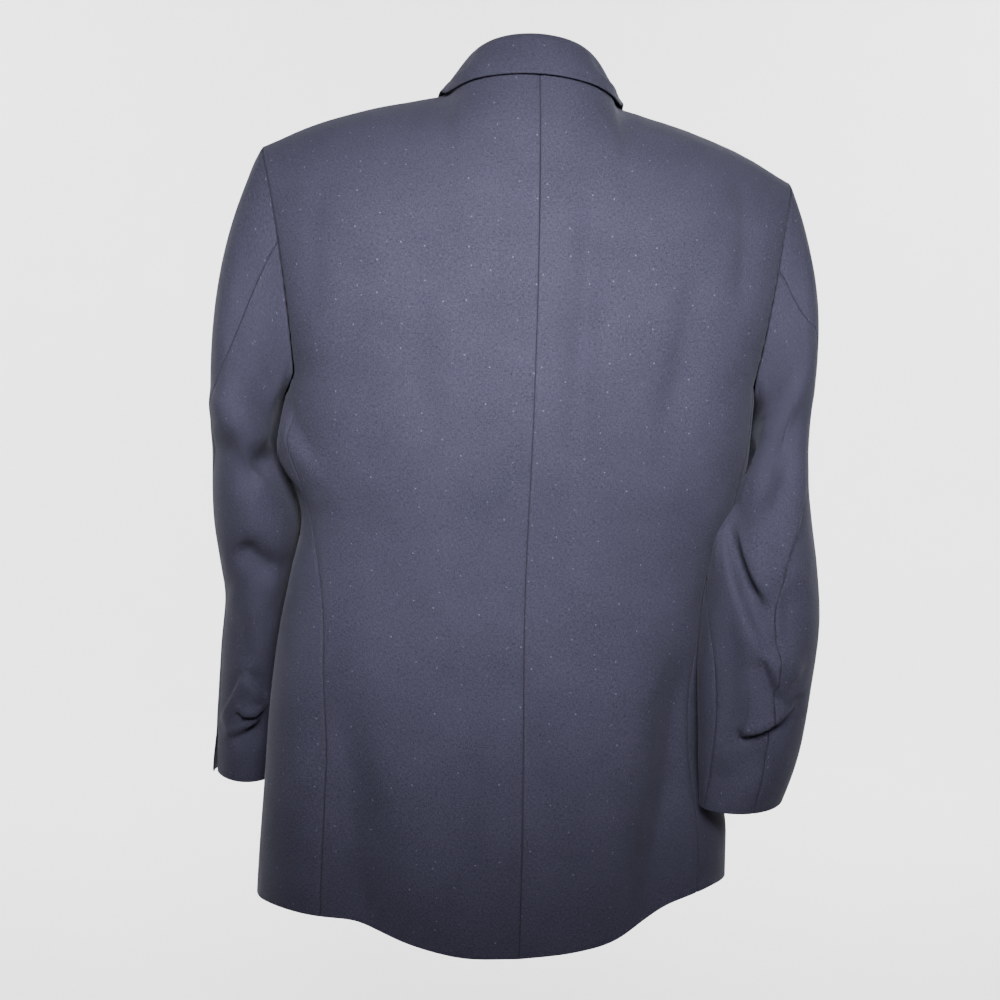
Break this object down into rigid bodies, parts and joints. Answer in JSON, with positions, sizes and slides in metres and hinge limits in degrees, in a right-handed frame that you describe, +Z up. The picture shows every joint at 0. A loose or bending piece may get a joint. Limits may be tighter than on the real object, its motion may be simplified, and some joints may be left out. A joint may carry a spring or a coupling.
{
  "type": "tailored blazer, filled out as worn",
  "caption": "Single-breasted tailored wool blazer, hollow and filled out as when it is worn, with open neck, hem and cuffs.",
  "frame": {"origin": "middle of the neck's base, level with the points where the shoulder seams meet the neck, where a wearer holds the garment up", "axes": "+Z up, the front faces -Y, +X is the wearer's left"},
  "size_m": [0.5606, 0.2863, 0.8023],
  "materials": {
    "navy_wool": "matt fine plain-woven wool with a faint sheen",
    "dark_button": "satin horn-like button"
  },
  "bodies": {
    "root": {"back_left": "navy_wool", "back_right": "navy_wool", "side_left": "navy_wool", "side_right": "navy_wool", "front_left": "navy_wool", "front_right": "navy_wool", "lapel_left": "navy_wool", "lapel_right": "navy_wool", "collar": "navy_wool", "sleeve_top_left": "navy_wool", "sleeve_top_right": "navy_wool", "sleeve_under_left": "navy_wool", "sleeve_under_right": "navy_wool", "button_upper": "dark_button", "button_lower": "dark_button"}
  },
  "joints": []
}
